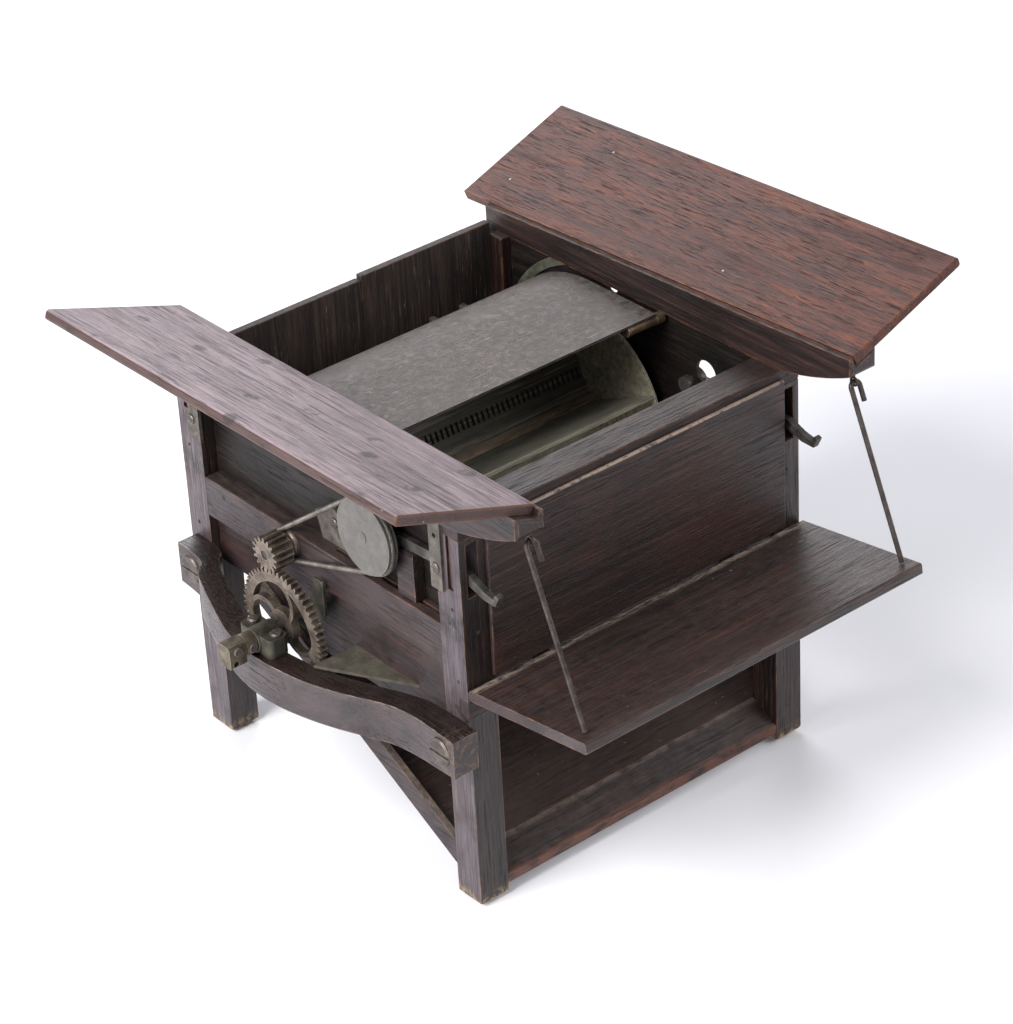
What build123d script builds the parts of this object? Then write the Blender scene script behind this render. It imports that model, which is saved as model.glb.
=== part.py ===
from build123d import *
import os
from math import acos, atan2, cos, degrees, pi, radians, sin, sqrt, tan

# A hand-cranked drum machine on a wooden stand, as a small working model.
# Working frame while modelling, in millimetres: X runs along the front from the
# gear side to the far side, Y runs from the front to the back, Z is up, and zero
# is the outer bottom corner of the front leg on the gear side. The finished
# pieces are moved so that the origin is at the middle of the machine's box, on
# the floor.

# Driving dimensions of the stand
body_width = 200.0
body_depth = 206.0
leg_size = 16.0
rail_top = 203.0
top_rail_height = 8.0
leg_top = rail_top - top_rail_height
skin = 4.0                      # thickness of the thin boards
floor_gap = 11.0                # height of the chute's lip above the floor
panel_proud = 2.2               # how far the front panel stands in front of the legs

# Drive
tooth_size = 1.0                # gear module
gear_teeth = 56
pinion_teeth = 16
pressure_angle = radians(20)
tooth_thinning = 0.16           # play between the meshing teeth
drum_axis_y = 125.0
drum_axis_z = 139.0
gear_bearing_angle = radians(78)  # direction from the gear's axis up to the pinion's
shaft_radius = 2.5
running_gap = 0.05
drum_radius = 51.0
hood_radius = 65.0
sheet = 1.2
pulley_axis_y = 62.0
pulley_axis_z = 172.0
belt_radius = 1.3
belt_plane_x = -2.0
large_pulley_radius = 18.4
small_pulley_radius = 7.6

# Table and its stays
table_depth = 76.0
table_thickness = 5.5
table_tilt = 8.0
table_axis_y = -3.2
table_axis_z = 117.6
stay_radius = 1.2
stay_hook_y = -38.0
stay_hook_z = 209.4

centre_distance = tooth_size * (gear_teeth + pinion_teeth) / 2
gear_axis_y = drum_axis_y - centre_distance * cos(gear_bearing_angle)
gear_axis_z = drum_axis_z - centre_distance * sin(gear_bearing_angle)
inner_front = leg_size
inner_back = body_depth - leg_size
inner_left = leg_size
inner_right = body_width - leg_size

nodes = {}


def block(x, y, z):
    """A rectangular block between the low and high values of each axis."""
    size = (x[1] - x[0], y[1] - y[0], z[1] - z[0])
    return Pos(x[0], y[0], z[0]) * Box(*size, align=(Align.MIN, Align.MIN, Align.MIN))


def bar_x(y, z, x0, x1, radius):
    """A round bar along X."""
    lay = Pos(x0, y, z) * Rot(0, 90, 0)
    return lay * Cylinder(radius, x1 - x0, align=(Align.CENTER, Align.CENTER, Align.MIN))


def bar_y(x, z, y0, y1, radius):
    """A round bar along Y."""
    lay = Pos(x, y1, z) * Rot(90, 0, 0)
    return lay * Cylinder(radius, y1 - y0, align=(Align.CENTER, Align.CENTER, Align.MIN))


def bar_z(x, y, z0, z1, radius):
    """A round bar along Z."""
    return Pos(x, y, z0) * Cylinder(radius, z1 - z0, align=(Align.CENTER, Align.CENTER, Align.MIN))


def side_face(points, x0, x1):
    """A flat outline in the Y-Z plane, given thickness from x0 to x1."""
    outline = Plane.YZ.offset(x0) * Polygon(*points, align=None)
    return extrude(outline, amount=x1 - x0)


def mirror_x(shape):
    """The same piece on the other side of the machine."""
    return mirror(shape, Plane.YZ.offset(body_width / 2))


def slotted_screw(radius, head, shank_radius, shank):
    """A screw along -Z: head above the origin, with a slot, and a plain shank below."""
    dome = Cylinder(radius, head, align=(Align.CENTER, Align.CENTER, Align.MIN))
    dome = chamfer(dome.faces().sort_by(Axis.Z)[-1].edges(), head * 0.35)
    stem = Pos(0, 0, -shank) * Cylinder(shank_radius, shank,
                                        align=(Align.CENTER, Align.CENTER, Align.MIN))
    slot = Pos(0, 0, head) * Box(radius * 0.28, radius * 2.4, head * 0.8)
    return dome + stem - slot


def add(name, shape):
    """Keep a finished piece under its node's name."""
    nodes[name] = shape


# ---------------------------------------------------------------- stand
slot_low_z = 165.0
slot_high_z = 192.0
slot_x = (3.7, 10.0)
lap_z = (104.0, 113.0)
lap_depth = 6.0
foot_wear = 2.6

leg_slot = block(slot_x, (-1, leg_size + 1), (slot_low_z, slot_high_z))
strap_groove = block((-1, 1.5), (5.2, 8.6), (168, leg_top + 1))
strap_recess_z = 166.0


def leg(top):
    """A square leg with its foot's arrises worn round."""
    post = block((0, leg_size), (0, leg_size), (0, top))
    return chamfer(post.faces().sort_by(Axis.Z)[0].edges(), foot_wear)


def lap_notch(x):
    """The notch in a front leg that the middle rail is let into."""
    return block(x, (-1, lap_depth), lap_z)


large_screw_radius = 7.0
large_shank = 2.0
rail_screw_at = ((4.4, 91.5), (192.0, 100.0))
screw_holes = [bar_x(y, z, -1, 12, large_shank) for y, z in rail_screw_at]
strap_screw_z = 177.0
strap_screw_y = (14.4, body_depth - 12.6)
strap_thickness = 1.6
strap_holes = [bar_x(y, strap_screw_z, -1, 2, 1.1) for y in strap_screw_y]

leg_front_left = leg(leg_top) - leg_slot - strap_groove - lap_notch((-1, leg_size + 1))
leg_front_left -= Compound(screw_holes) + Compound(strap_holes)
add("leg_front_left", leg_front_left)

plain_front_leg = leg(leg_top) - leg_slot - lap_notch((-1, leg_size + 1))
add("leg_front_right", mirror_x(plain_front_leg))

back_leg = Pos(0, inner_back, 0) * leg(rail_top)
back_groove = block((-1, 1.5), (body_depth - 8.6, body_depth - 5.2), (180, rail_top + 1))
add("leg_back_left", back_leg - back_groove - Compound(screw_holes) - Compound(strap_holes))
add("leg_back_right", mirror_x(back_leg))

side_panel_x = (8.4, 10.0)
top_rail = block((0, body_width), (0, leg_size), (leg_top, rail_top))
top_rail += block((side_panel_x[1] + 0.2, body_width - side_panel_x[1] - 0.2), (leg_size, leg_size + 2),
                  (leg_top, rail_top))
add("front_top_rail", top_rail)
add("front_middle_rail", block((0, body_width), (0, lap_depth), lap_z))

lining_y = (2.0, 2.0 + skin)
add("front_lining", block((inner_left, inner_right), lining_y, (lap_z[1], leg_top)))

panel_low_z = 121.2
front_panel = block((14, 189.5), (-panel_proud, 0), (panel_low_z, 198.5))
front_panel = chamfer(front_panel.faces().sort_by(Axis.Y)[0].edges(), 0.6)
add("front_panel", front_panel)

# Side walls: a stout middle rail, a thin panel above it and a thin panel below it.
middle_rail_z = (125.5, 146.5)
middle_rail_x = (0.0, 10.0)
lower_panel_x = (5.0, 5.0 + skin)
middle_rail = block(middle_rail_x, (inner_front, inner_back), middle_rail_z)
rail_groove = block((4.6, 6.2), (inner_front - 1, 96), (middle_rail_z[1] - 2, middle_rail_z[1] + 1))
bearing_hole = bar_x(drum_axis_y, drum_axis_z, -1, 14, 5.0)
hanger_hole = bar_x(gear_axis_y, gear_axis_z, -1, 14, 5.0)
add("left_middle_rail", middle_rail - rail_groove - bearing_hole)
add("right_middle_rail", mirror_x(middle_rail - bearing_hole))

bush_hole = bar_x(pulley_axis_y, pulley_axis_z, 0, 20, 4.0)
side_panel = block(side_panel_x, (inner_front, inner_back), (middle_rail_z[1], rail_top))
add("left_side_panel", side_panel - bush_hole)
sight_hole = bar_x(51.0, 181.0, 0, 20, 6.5)
top_notch = bar_x(115.5, rail_top, 0, 20, 4.0)
add("right_side_panel", mirror_x(side_panel - bush_hole - sight_hole - top_notch))

lower_outline = [(inner_front, 84), (130, 84), (160, 99), (inner_back, 99),
                 (inner_back, middle_rail_z[0]), (inner_front, middle_rail_z[0])]
lower_panel = side_face(lower_outline, *lower_panel_x)
add("lower_panels", Compound([lower_panel - hanger_hole, mirror_x(lower_panel)]))

# The back is closed by two upright boards with an open seam between them.
back_y = (inner_back + 8.0, inner_back + 8.0 + skin)
back_seam_x = 104.0
add("back_board_left", block((inner_left, back_seam_x), back_y, (100, 207.5)))
add("back_board_right", block((back_seam_x + 0.5, inner_right), back_y, (100, 209.5)))

# ---------------------------------------------------------------- bars and boards
bar_front_y = -45.0
bar_width = 15.7
bar_ledge = 1.7                 # how far the bar shows beside its board
bar_tip_z = 217.5
bar_curve = (-20.0, 208.0)
bar_blank_z = 245.0
board_thickness = 5.0


def board_lie(inner_x, outward, front_y, inner_z, tilt, pitch):
    """Where a wing board lies: at its inner front corner, tilted up outwards and forwards."""
    return Pos(inner_x, front_y, inner_z) * Rot(-pitch, 0, 0) * Rot(0, -outward * tilt, 0)


def wing_board(outward, length, width, lie):
    """A sloping board whose inner edge lies along the bar."""
    slab = Box(width, length, board_thickness, align=(Align.MIN, Align.MIN, Align.MAX))
    slab = fillet(slab.edges().filter_by(Axis.Y).group_by(Axis.X)[-1], 1.6)
    ends = slab.faces().sort_by(Axis.Y)
    slab = chamfer(ends[0].edges() + ends[-1].edges(), 0.5)
    if outward < 0:
        slab = mirror(slab, Plane.YZ)
    return lie * slab


def side_bar(inner_x, outward, lie):
    """A bar along the top of a side wall, planed to its board's slope, curved under its end."""
    start = (2.0, rail_top)
    outline = [Line((body_depth, bar_blank_z), (body_depth, rail_top)),
               Line((body_depth, rail_top), start),
               ThreePointArc(start, bar_curve, (bar_front_y, bar_tip_z)),
               Line((bar_front_y, bar_tip_z), (bar_front_y, bar_blank_z)),
               Line((bar_front_y, bar_blank_z), (body_depth, bar_blank_z))]
    blank = extrude(Plane.YZ.offset(inner_x) * make_face(Wire(outline)), amount=outward * bar_width)
    over_board = Align.MIN if outward > 0 else Align.MAX
    above = Pos(0, 0, -board_thickness) * Box(200, 700, 80, align=(over_board, Align.CENTER, Align.MIN))
    above += Pos(0, 0, -1.2) * Box(400, 700, 80, align=(Align.CENTER, Align.CENTER, Align.MIN))
    bar = blank - lie * above
    return chamfer(bar.faces().sort_by(Axis.Y)[0].edges(), 1.2)


left_bar_x = 10.0
right_bar_x = body_width - 10.0
left_lie = board_lie(left_bar_x, -1, -40.5, 227.6, 19.3, 0.43)
right_lie = board_lie(right_bar_x, 1, -44.9, 227.4, 20.0, 2.63)
add("left_board", wing_board(-1, 251.0, 74.4, left_lie))
add("right_board", wing_board(1, 270.0, 70.5, right_lie))
add("left_bar", side_bar(left_bar_x + bar_ledge, -1, left_lie))
add("right_bar", side_bar(right_bar_x - bar_ledge, 1, right_lie))

# ---------------------------------------------------------------- chute under the drum
chute_slope = radians(28.3)
chute_thickness = 4.0
chute_back_y = 160.0
chute_cheek = 13.0
lip_drop = chute_thickness / cos(chute_slope)


def chute_z(y):
    """Height of the chute floor's upper face."""
    return floor_gap + tan(chute_slope) * y


def chute_slab(x0, x1, y0, y1, low, high):
    """A slab that follows the chute's slope, between two heights measured from its top."""
    corners = [(y0, chute_z(y0) + low), (y1, chute_z(y1) + low),
               (y1, chute_z(y1) + high), (y0, chute_z(y0) + high)]
    return side_face(corners, x0, x1)


cheek_x = (1.0, 4.6)
lip_end_y = leg_size + 0.2
add("chute_lip", chute_slab(inner_left, inner_right, 0, lip_end_y, -lip_drop, 0))
add("chute_floor", chute_slab(cheek_x[1], body_width - cheek_x[1], lip_end_y + 0.2, chute_back_y,
                              -lip_drop, 0))
cheek = chute_slab(*cheek_x, lip_end_y, chute_back_y - 2, -lip_drop, chute_cheek - lip_drop)
add("chute_cheeks", Compound([cheek, mirror_x(cheek)]))

# ---------------------------------------------------------------- bowed rail
# Seen from above it bows out round the gear; seen from the side it dips in the middle
# and climbs to its back end.
bow_front_y = -5.5
table_gap = 0.6                 # the folded table passes beside the rail's front end
bow_back_y = 201.5
rail_high_z = 97.5              # its flat top under the crank's bracket
rail_flat_y = (98.0, 133.0)
outer_bow = [(-13.0, 18), (-14.4, 38), (-19.2, 53), (-26.4, 75), (-31.2, 97), (-32.6, 118),
             (-29.6, 141), (-24.4, 160), (-16.5, 178), (-11.8, 190)]
inner_bow = [(0.0, 22), (-2.4, 38), (-7.0, 53), (-14.0, 75), (-18.8, 97), (-20.2, 118),
             (-17.2, 141), (-12.0, 160), (-4.5, 178), (0.0, 188)]
plan = [
    Line((-table_gap, bow_front_y), (-14.2, bow_front_y)),
    Line((-14.2, bow_front_y), outer_bow[0]),
    Spline(*outer_bow, tangents=[(0, 1), (0, 1)]),
    Line(outer_bow[-1], (-11.6, bow_back_y)),
    Line((-11.6, bow_back_y), (0, bow_back_y)),
    Line((0, bow_back_y), inner_bow[-1]),
    Spline(*inner_bow, tangents=[(0, 1), (0, 1)]),
    Line(inner_bow[0], (0, 0)),
    Line((0, 0), (-table_gap, 0)),
    Line((-table_gap, 0), (-table_gap, bow_front_y)),
]
low_line = [(bow_front_y, 82), (25, 79.5), (76, 77), (118, 77), (150, 80.5), (178, 86), (bow_back_y, 89)]
front_rise = [(bow_front_y, 101), (25, 100.5), (50, 98.8), (rail_flat_y[0], rail_high_z)]
back_rise = [(rail_flat_y[1], rail_high_z), (150, 101.0), (170, 106.8), (bow_back_y, 110.5)]
side_view = [
    Line(low_line[0], front_rise[0]),
    Spline(*front_rise),
    Line(front_rise[-1], back_rise[0]),
    Spline(*back_rise),
    Line(back_rise[-1], low_line[-1]),
    Spline(*low_line),
]
seen_from_above = Pos(0, 0, 60) * extrude(make_face(Wire(plan)), amount=70)
seen_from_side = extrude(Plane.YZ.offset(-60) * make_face(Wire(side_view)), amount=61)
bowed_rail = seen_from_above & seen_from_side
rail_face_x = (-13.1, -11.0)    # the floors of the recesses for the screws' heads
rail_screws = []
for (y, z), face_x in zip(rail_screw_at, rail_face_x):
    bowed_rail -= bar_x(y, z, -30, face_x, large_screw_radius + 0.1)
    bowed_rail -= bar_x(y, z, -30, 1, large_shank)
    rail_screws.append(Pos(face_x, y, z) * Rot(0, -90, 0)
                       * slotted_screw(large_screw_radius, 1.9, large_shank, 11 - face_x))
add("bowed_rail", bowed_rail)
add("rail_screws", Compound(rail_screws))

facing_left = Rot(0, -90, 0)

# Strap plates let the wing bars be held down on the gear side's two legs.
strap_y = ((10.6, 18.2), (body_depth - 18.2, body_depth - 10.6))
straps = []
for (low_y, high_y), screw_y in zip(strap_y, strap_screw_y):
    middle_y = (low_y + high_y) / 2
    plate = block((-strap_thickness, 0), (low_y, high_y), (strap_recess_z, rail_top))
    plate -= bar_x(middle_y, 193.0, -strap_thickness - 1, 1, 1.3)
    plate -= bar_x(screw_y, strap_screw_z, -strap_thickness - 1, 1, 1.1)
    straps.append(plate)
add("strap_plates", Compound(straps))
strap_screws = [Pos(-strap_thickness, y, strap_screw_z) * facing_left
                * slotted_screw(2.5, 0.9, 1.1, strap_thickness + 1.8) for y in strap_screw_y]


# ---------------------------------------------------------------- gears
def gear_outline(teeth, turn):
    """A spur gear's outline with involute flanks; turn is the angle of one tooth's middle."""
    pitch_r = tooth_size * teeth / 2
    base_r = pitch_r * cos(pressure_angle)
    tip_r = pitch_r + tooth_size
    root_r = pitch_r - 1.3 * tooth_size
    half_tooth = (pi * tooth_size / 2 - tooth_thinning) / (2 * pitch_r)
    spread = tan(pressure_angle) - pressure_angle
    start_r = max(base_r, root_r)
    flank = []
    for step in range(4):
        r = start_r + (tip_r - start_r) * step / 3
        bend = acos(min(1.0, base_r / r))
        flank.append((r, half_tooth + spread - (tan(bend) - bend)))
    points = []
    for tooth in range(teeth):
        middle = turn + 2 * pi * tooth / teeth
        root_angle = flank[0][1]
        points.append((root_r, middle - root_angle))
        points += [(r, middle - a) for r, a in flank]
        points += [(r, middle + a) for r, a in reversed(flank)]
        points.append((root_r, middle + root_angle))
    if root_r >= base_r:
        points = [p for i, p in enumerate(points) if i % 10 not in (0, 9)]
    return [(r * cos(a), r * sin(a)) for r, a in points]


def spur_gear(teeth, turn, axis_y, axis_z, x0, x1):
    """A spur gear standing in the Y-Z plane."""
    outline = Polygon(*gear_outline(teeth, turn), align=None)
    return extrude(Plane.YZ.offset(x0) * Pos(axis_y, axis_z) * outline, amount=x1 - x0)


gear_x = (-14.0, -10.0)
pinion_x = (-14.6, -4.2)
gear_turn = gear_bearing_angle
pinion_turn = gear_bearing_angle + pi + pi / pinion_teeth
spokes = 4
hub_radius = 8.5
web_radius = 22.3
spoke_width = 2.2
spoke_sweep = radians(50)

gear = spur_gear(gear_teeth, gear_turn, gear_axis_y, gear_axis_z, *gear_x)
web = Circle(web_radius) - Circle(hub_radius)
for k in range(spokes):
    end = 2 * pi * k / spokes
    start = end + spoke_sweep
    first = ((hub_radius - 1) * cos(start), (hub_radius - 1) * sin(start))
    last = ((web_radius + 1) * cos(end), (web_radius + 1) * sin(end))
    middle_angle = start - spoke_sweep * 0.28
    middle_r = (hub_radius + web_radius) / 2
    middle = (middle_r * cos(middle_angle), middle_r * sin(middle_angle))
    web -= trace(ThreePointArc(first, middle, last), line_width=spoke_width)
web_cut = extrude(Plane.YZ.offset(gear_x[0] - 1) * Pos(gear_axis_y, gear_axis_z) * web,
                  amount=gear_x[1] - gear_x[0] + 2)
gear -= web_cut
gear -= bar_x(gear_axis_y, gear_axis_z, gear_x[0] - 1, gear_x[1] + 1, shaft_radius)
add("crank_gear", gear)

bracket_x = (-31.0, -18.5)
collar_x = (-36.9, -31.5)
clamp_x = (-46.5, -37.2)
crank_shaft_x = (-44.5, 9.0)
crank_shaft = bar_x(gear_axis_y, gear_axis_z, *crank_shaft_x, shaft_radius)
add("crank_shaft", crank_shaft)
collar_radius = 5.4
collar_screw_x = -34.2
screw_seat_y = gear_axis_y - 5.0
collar = bar_x(gear_axis_y, gear_axis_z, *collar_x, collar_radius)
collar -= bar_x(gear_axis_y, gear_axis_z, collar_x[0] - 1, collar_x[1] + 1, shaft_radius)
collar -= bar_y(collar_screw_x, gear_axis_z, screw_seat_y - 2, screw_seat_y, 2.3)
collar -= bar_y(collar_screw_x, gear_axis_z, screw_seat_y, gear_axis_y - 3.0, 1.0)
add("shaft_collar", collar)

clamp_half = 4.4
clamp = block(clamp_x, (gear_axis_y - clamp_half, gear_axis_y + clamp_half),
              (gear_axis_z - 7.2, gear_axis_z + clamp_half))
clamp = chamfer(clamp.edges().filter_by(Axis.X), 0.8)
clamp -= bar_x(gear_axis_y, gear_axis_z, crank_shaft_x[0], clamp_x[1] + 1, shaft_radius)
handle_hole_radius = 1.5
handle_hole_x = -43.2
handle_hole_z = gear_axis_z - 5.1
clamp -= bar_y(handle_hole_x, handle_hole_z, gear_axis_y - 10, gear_axis_y + 10, handle_hole_radius)
clamp_screw_x = -42.0
clamp_screw_z = gear_axis_z + 1.2
clamp -= bar_y(clamp_screw_x, clamp_screw_z, gear_axis_y - 6, gear_axis_y - 3.0, 1.0)
add("crank_clamp", clamp)
facing_front = Rot(90, 0, 0)
clamp_screws = [
    Pos(clamp_screw_x, gear_axis_y - clamp_half, clamp_screw_z) * facing_front
    * slotted_screw(2.3, 1.0, 1.0, 1.3),
    Pos(collar_screw_x, screw_seat_y, gear_axis_z) * facing_front * slotted_screw(2.2, 1.1, 1.0, 1.6),
]
add("clamp_screws", Compound(clamp_screws))

# The bracket stands on the bowed rail's top and holds the crank shaft.
bracket_top_z = 107.5
bracket_half = 12.0
bracket_bore = shaft_radius + running_gap
pillow = block((bracket_x[0] + 1.5, bracket_x[1]), (gear_axis_y - bracket_half, gear_axis_y + bracket_half),
               (rail_high_z, bracket_top_z))
pillow = fillet(pillow.edges().filter_by(Axis.Z), 3.0)
boss = bar_x(gear_axis_y, gear_axis_z, *bracket_x, 6.0)
bracket = pillow + boss - bar_x(gear_axis_y, gear_axis_z, -60, 0, bracket_bore)
bracket_screw_y = (gear_axis_y - 8.5, gear_axis_y + 8.5)
bracket_screw_x = -23.4
bracket_shanks = Compound([bar_z(bracket_screw_x, y, rail_high_z - 6, bracket_top_z + 1, 1.2)
                           for y in bracket_screw_y])
add("crank_bracket", bracket - bracket_shanks)
nodes["bowed_rail"] -= bracket_shanks
bracket_screws = [Pos(bracket_screw_x, y, bracket_top_z)
                  * slotted_screw(2.8, 1.6, 1.2, bracket_top_z - rail_high_z + 6) for y in bracket_screw_y]

# A hanger on the side wall holds the crank shaft's inner end.
hanger_x = (-1.6, 0.0)
hanger_outline = [(98.0, 131.5), (104.5, 131.5), (107.5, 117.0), (gear_axis_y + 5, gear_axis_z + 5),
                  (gear_axis_y + 5, gear_axis_z - 5), (gear_axis_y - 5, gear_axis_z - 5), (98.0, 113.0)]
hanger = side_face(hanger_outline, *hanger_x)
hanger += bar_x(gear_axis_y, gear_axis_z, hanger_x[0], 5.0, 4.6)
hanger -= bar_x(gear_axis_y, gear_axis_z, -5, 15, bracket_bore)
add("shaft_hanger", hanger)

# ---------------------------------------------------------------- drum
drum_inner_x = (18.0, 182.0)
journal = bar_x(drum_axis_y, drum_axis_z, pinion_x[0] + 0.4, 192.0, shaft_radius)
add("drum_shaft", journal)
axle = bar_x(drum_axis_y, drum_axis_z, *drum_inner_x, 5.6)
axle -= bar_x(drum_axis_y, drum_axis_z, 0, body_width, shaft_radius)
add("drum_axle", axle)

pinion = spur_gear(pinion_teeth, pinion_turn, drum_axis_y, drum_axis_z, *pinion_x)
pinion -= bar_x(drum_axis_y, drum_axis_z, -30, 0, shaft_radius)
add("pinion", pinion)


def grooved_pulley(axis_y, axis_z, x0, x1, rim_radius, bore):
    """A pulley with a round-bottomed groove for the spring belt."""
    wheel = bar_x(axis_y, axis_z, x0, x1, rim_radius)
    groove_radius = belt_radius + 0.15
    ring_radius = rim_radius - 0.1
    ring = Torus(ring_radius, groove_radius)
    wheel -= Pos(belt_plane_x, axis_y, axis_z) * Rot(0, 90, 0) * ring
    return wheel - bar_x(axis_y, axis_z, x0 - 1, x1 + 1, bore)


small_x = (-4.0, -0.2)
add("small_pulley", grooved_pulley(drum_axis_y, drum_axis_z, *small_x, small_pulley_radius, shaft_radius))
large_x = (-4.4, 0.6)
large_pulley = grooved_pulley(pulley_axis_y, pulley_axis_z, *large_x, large_pulley_radius, 0.1)
arbor = bar_x(pulley_axis_y, pulley_axis_z, -4.9, 14.5, shaft_radius)
add("large_pulley", bar_x(pulley_axis_y, pulley_axis_z, *large_x, 1.0) + large_pulley + arbor)

disc = bar_x(drum_axis_y, drum_axis_z, drum_inner_x[0] - sheet, drum_inner_x[0], drum_radius)
disc -= bar_x(drum_axis_y, drum_axis_z, 0, body_width, shaft_radius)
add("drum_ends", Compound([disc, mirror_x(disc)]))

blade_angles = [radians(155 - 90 * k) for k in range(4)]
blade_thickness = 2.0
blade_start = 5.0
blade_end = 50.6


def on_drum(angle, shape):
    """Turn a piece that was made standing up above the drum's axis to its own angle."""
    return Pos(0, drum_axis_y, drum_axis_z) * Rot(degrees(angle) - 90, 0, 0) * shape


blades = []
for angle in blade_angles:
    upright = block(drum_inner_x, (-blade_thickness / 2, blade_thickness / 2), (blade_start, blade_end))
    upright -= bar_x(0, 0, 0, body_width, 5.6)
    blades.append(on_drum(angle, upright))
add("drum_blades", Compound(blades))

# A comb of small pegs lies on the front of the second blade, near the axle.
peg_pitch = 3.1
peg_count = 52
peg_radius = 0.5
peg_reach = (14.0, 19.0)
pegs = []
for k in range(peg_count):
    x = body_width / 2 + (k - (peg_count - 1) / 2) * peg_pitch
    peg = bar_z(x, -blade_thickness / 2 - peg_radius, *peg_reach, peg_radius)
    pegs.append(on_drum(blade_angles[1], peg))
add("blade_teeth", Compound(pegs))

# Bearings of the drum's shaft in both walls
bearing_left = bar_x(drum_axis_y, drum_axis_z, 2.6, 14.6, 5.0)
bearing_left -= bar_x(drum_axis_y, drum_axis_z, 0, 20, bracket_bore)
bearing_right = bar_x(drum_axis_y, drum_axis_z, body_width - 14.6, body_width, 5.0)
bearing_right -= bar_x(drum_axis_y, drum_axis_z, body_width - 20, body_width + 1, bracket_bore)
add("drum_bearings", Compound([bearing_left, bearing_right]))

# A flat plate, screwed in the recess, steadies the drum's bearing on the gear side.
steady_x = (6.6, side_panel_x[0])
steady_plate = side_face([(84, 147), (108, 147), (112, 160), (100, 167), (86, 160)], *steady_x)
steady_plate -= bar_x(98.0, 159.0, 0, 20, 1.1)
add("steady_plate", steady_plate)
nodes["left_side_panel"] -= bar_x(98.0, 159.0, 0, 20, 1.1)
steady_screw = (Pos(steady_x[0], 98.0, 159.0) * facing_left * slotted_screw(2.6, 1.1, 1.1, 3.2))
add("small_screws", Compound(strap_screws + bracket_screws + [steady_screw]))

# ---------------------------------------------------------------- belt
belt_large = large_pulley_radius - 0.1
belt_small = small_pulley_radius - 0.1


def belt_path():
    """The belt's line: two tangent runs and an arc around each pulley."""
    dy = drum_axis_y - pulley_axis_y
    dz = drum_axis_z - pulley_axis_z
    span = sqrt(dy * dy + dz * dz)
    heading = atan2(dz, dy)
    lean = acos((belt_large - belt_small) / span)

    def on(axis_y, axis_z, r, angle):
        return (belt_plane_x, axis_y + r * cos(angle), axis_z + r * sin(angle))

    up, down = heading + lean, heading - lean
    big_up = on(pulley_axis_y, pulley_axis_z, belt_large, up)
    big_down = on(pulley_axis_y, pulley_axis_z, belt_large, down)
    big_far = on(pulley_axis_y, pulley_axis_z, belt_large, heading + pi)
    small_up = on(drum_axis_y, drum_axis_z, belt_small, up)
    small_down = on(drum_axis_y, drum_axis_z, belt_small, down)
    small_far = on(drum_axis_y, drum_axis_z, belt_small, heading)
    return [ThreePointArc(big_down, big_far, big_up), Line(big_up, small_up),
            ThreePointArc(small_up, small_far, small_down), Line(small_down, big_down)]


belt = None
for edge in belt_path():
    section = Plane(origin=edge @ 0, z_dir=edge % 0) * Circle(belt_radius)
    length = sweep(section, path=edge)
    belt = length if belt is None else belt + length
add("spring_belt", belt)

# ---------------------------------------------------------------- pulley bush and levers
bush = bar_x(pulley_axis_y, pulley_axis_z, 3.0, 14.0, 4.0)
bush -= bar_x(pulley_axis_y, pulley_axis_z, 0, 20, bracket_bore)
stud = bar_x(pulley_axis_y, pulley_axis_z, body_width - 14.0, body_width - 3.0, 4.0)
add("lever_pivots", Compound([bush, stud]))

lever_x = (4.6, 7.6)
lever_eye = 6.2
lever_bar_half = 2.6


def lever():
    """A flat bar with an eye at its back end and an upturned tip in front of the leg."""
    eye = bar_x(pulley_axis_y, pulley_axis_z, *lever_x, lever_eye)
    arm = side_face([(pulley_axis_y, pulley_axis_z - lever_bar_half),
                     (pulley_axis_y, pulley_axis_z + lever_bar_half),
                     (18, 177.4), (0, 176.4), (-9, 172.8), (-15.5, 171.4), (-17.5, 174.4),
                     (-19.5, 173.6), (-17, 168.4), (-9, 168.6), (0, 171.2), (18, 172.4)], *lever_x)
    return eye + arm - bar_x(pulley_axis_y, pulley_axis_z, 0, 20, 4.0 + running_gap)


add("lever_left", lever())
add("lever_right", mirror_x(lever()))

# Small blocks on the middle rails, under the levers
rest_block = block((2.4, 8.2), (36, 48), (middle_rail_z[1], 170.3))
rest_block = chamfer(rest_block.faces().sort_by(Axis.Z)[-1].edges(), 1.0)
add("lever_rests", Compound([rest_block, mirror_x(rest_block)]))

# ---------------------------------------------------------------- hood and casing
hood_x = (17.0, 183.0)
hood_back_angle = radians(27)
flap_front_y = 77.0
casing_low_angle = radians(-30)


def arc_point(radius, angle):
    return (drum_axis_y + radius * cos(angle), drum_axis_z + radius * sin(angle))


hood_top = pi / 2
outer = hood_radius + sheet
hood_edges = [
    ThreePointArc(arc_point(outer, hood_back_angle), arc_point(outer, (hood_back_angle + hood_top) / 2),
                  arc_point(outer, hood_top)),
    Line(arc_point(outer, hood_top), (flap_front_y, drum_axis_z + outer)),
    Line((flap_front_y, drum_axis_z + outer), (flap_front_y, drum_axis_z + hood_radius)),
    Line((flap_front_y, drum_axis_z + hood_radius), arc_point(hood_radius, hood_top)),
    ThreePointArc(arc_point(hood_radius, hood_top),
                  arc_point(hood_radius, (hood_back_angle + hood_top) / 2),
                  arc_point(hood_radius, hood_back_angle)),
    Line(arc_point(hood_radius, hood_back_angle), arc_point(outer, hood_back_angle)),
]
hood_profile = Plane.YZ.offset(hood_x[0]) * make_face(Wire(hood_edges))
hood = extrude(hood_profile, amount=hood_x[1] - hood_x[0])
hood_hinge_y, hood_hinge_z = arc_point(outer + 2.6, hood_back_angle)
hinge_barrel = 2.7
hinge_pin_radius = 0.9
barrel_x = (40.0, 52.0)
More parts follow.
